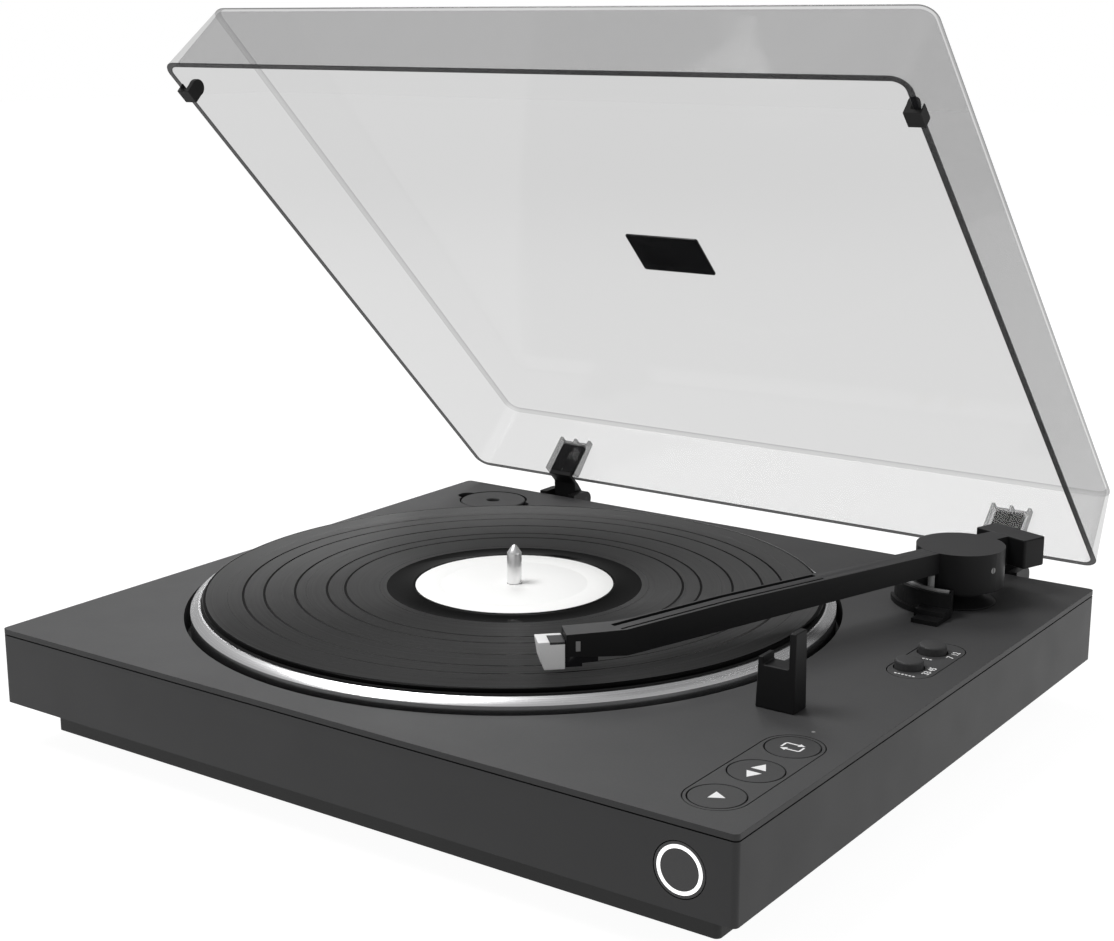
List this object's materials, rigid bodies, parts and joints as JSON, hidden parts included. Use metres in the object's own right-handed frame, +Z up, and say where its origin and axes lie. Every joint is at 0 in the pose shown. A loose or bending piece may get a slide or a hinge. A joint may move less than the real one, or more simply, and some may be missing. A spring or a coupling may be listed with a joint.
{
  "type": "turntable record player",
  "caption": "Low belt-driven record player with a raised clear dust cover, straight tonearm, cueing lift, flush controls and a stored large-hole adapter.",
  "frame": {"origin": "middle of the whole object's footprint, cover open, on the table under the feet", "axes": "+Z up, -Y towards the front face with the power button, +X towards the controls"},
  "size_m": [0.395, 0.39, 0.3385],
  "materials": {
    "deck_black": "fine-textured charcoal top plate and panels",
    "cabinet_black": "satin charcoal cabinet",
    "pan_black": "satin black moulded pan",
    "rubber_black": "matte black rubber",
    "screw_steel": "plated screws and pins",
    "well_black": "matte black moulding",
    "bearing_brass": "turned brass",
    "platter_metal": "turned bright rim, dark top",
    "mat_felt": "black felt",
    "vinyl": "grooved black vinyl",
    "label_paper": "plain white paper label",
    "spindle_steel": "satin steel",
    "motor_steel": "plated can",
    "belt_rubber": "black rubber belt",
    "board_green": "circuit board with black parts",
    "arm_black": "matte black moulding",
    "yoke_metal": "die-cast grey",
    "cart_black": "black cartridge body",
    "stylus_white": "light grey moulding",
    "stylus_metal": "cantilever and tip",
    "lifter_grey": "light grey moulding",
    "button_black": "matte black button",
    "led_white": "white light ring",
    "cover_acrylic": "clear lightly smoked acrylic",
    "clear_plastic": "clear moulding",
    "badge_dark": "plain dark plate",
    "socket_gold": "gilt contact shell"
  },
  "bodies": {
    "deck": {"deck_plate": "deck_black", "cabinet": "cabinet_black", "base_pan": "pan_black", "feet": "rubber_black", "base_screws": "screw_steel", "platter_well": "well_black", "spindle_bearing": "bearing_brass", "motor": "motor_steel", "motor_screws": "screw_steel", "drive_belt": "belt_rubber", "main_board": "board_green", "arm_drive_unit": "well_black", "tonearm_base": "arm_black", "cue_housing": "arm_black", "arm_rest": "arm_black", "button_panel": "deck_black", "button_board": "board_green", "status_lens": "clear_plastic", "switch_panel": "deck_black", "switch_board": "board_green", "power_switch": "well_black", "adapter_cup": "well_black", "hinge_bases": "arm_black", "hinge_pins": "screw_steel", "hinge_screws": "screw_steel", "jack_plate": "well_black", "rca_sockets": "socket_gold", "dc_socket": "well_black"},
    "platter": {"platter": "platter_metal", "slip_mat": "mat_felt", "vinyl_record": "vinyl", "record_label": "label_paper", "spindle": "spindle_steel"},
    "motor_pulley": {"motor_pulley": "bearing_brass"},
    "arm_yoke": {"arm_yoke": "yoke_metal", "yoke_clip": "screw_steel"},
    "tonearm": {"tonearm": "arm_black", "counterweight": "arm_black", "pivot_screws": "screw_steel", "cartridge": "cart_black", "stylus_holder": "stylus_white", "stylus_tip": "stylus_metal"},
    "cue_lifter": {"cue_lifter": "lifter_grey"},
    "play_button": {"play_button": "button_black"},
    "cue_button": {"cue_button": "button_black"},
    "repeat_button": {"repeat_button": "button_black"},
    "speed_button": {"speed_button": "button_black"},
    "size_button": {"size_button": "button_black"},
    "power_button": {"power_button": "button_black", "power_ring": "led_white"},
    "adapter_45": {"adapter_45": "deck_black"},
    "dust_cover": {"dust_cover": "cover_acrylic", "hinge_sockets": "clear_plastic", "hinge_tongues": "arm_black", "lid_badge": "badge_dark", "lid_bumpers": "rubber_black"},
    "line_switch": {"line_switch_knob": "button_black"}
  },
  "joints": [
    {"name": "platter_spin", "type": "hinge", "parent": "deck", "child": "platter", "pos_m": [-0.0299, -0.01882, 0.0566], "axis": [0, 0, 1], "continuous": true},
    {"name": "pulley_spin", "type": "hinge", "parent": "deck", "child": "motor_pulley", "pos_m": [-0.12642, 0.06218, 0.0566], "axis": [0, 0, 1], "continuous": true},
    {"name": "arm_yaw", "type": "hinge", "parent": "deck", "child": "arm_yoke", "pos_m": [0.149, 0.10478, 0.0566], "axis": [0, 0, 1], "range_deg": [-18.5, 14]},
    {"name": "arm_pitch", "type": "hinge", "parent": "arm_yoke", "child": "tonearm", "pos_m": [0.149, 0.10478, 0.0766], "axis": [-0.9438, 0.3305, 0], "range_deg": [0, 3.5]},
    {"name": "cue_lift", "type": "slide", "parent": "deck", "child": "cue_lifter", "axis": [0, 0, 1], "range_m": [0, 0.0015]},
    {"name": "play_press", "type": "slide", "parent": "deck", "child": "play_button", "axis": [0, 0, -1], "range_m": [0, 0.0012], "stiffness_N_per_m": 400, "springref_m": -0.002},
    {"name": "cue_press", "type": "slide", "parent": "deck", "child": "cue_button", "axis": [0, 0, -1], "range_m": [0, 0.0012], "stiffness_N_per_m": 400, "springref_m": -0.002},
    {"name": "repeat_press", "type": "slide", "parent": "deck", "child": "repeat_button", "axis": [0, 0, -1], "range_m": [0, 0.0012], "stiffness_N_per_m": 400, "springref_m": -0.002},
    {"name": "speed_press", "type": "slide", "parent": "deck", "child": "speed_button", "axis": [0, 0, -1], "range_m": [0, 0.0024], "stiffness_N_per_m": 300, "springref_m": -0.002},
    {"name": "size_press", "type": "slide", "parent": "deck", "child": "size_button", "axis": [0, 0, -1], "range_m": [0, 0.0024], "stiffness_N_per_m": 300, "springref_m": -0.002},
    {"name": "power_press", "type": "slide", "parent": "deck", "child": "power_button", "axis": [0, 1, 0], "range_m": [0, 0.0012], "stiffness_N_per_m": 400, "springref_m": -0.002},
    {"name": "adapter_lift", "type": "slide", "parent": "deck", "child": "adapter_45", "axis": [0, 0, 1], "range_m": [0, 0.02]},
    {"name": "cover_hinge", "type": "hinge", "parent": "deck", "child": "dust_cover", "pos_m": [0, 0.17308, 0.0531], "axis": [1, 0, 0], "range_deg": [0, 44.8]},
    {"name": "line_slide", "type": "slide", "parent": "deck", "child": "line_switch", "axis": [1, 0, 0], "range_m": [0, 0.004]}
  ],
  "couplings": [
    {"joint": "pulley_spin", "follows": "platter_spin", "ratio": 13.714},
    {"joint": "cue_lift", "follows": "arm_pitch", "m_per_rad": 0.0237}
  ]
}
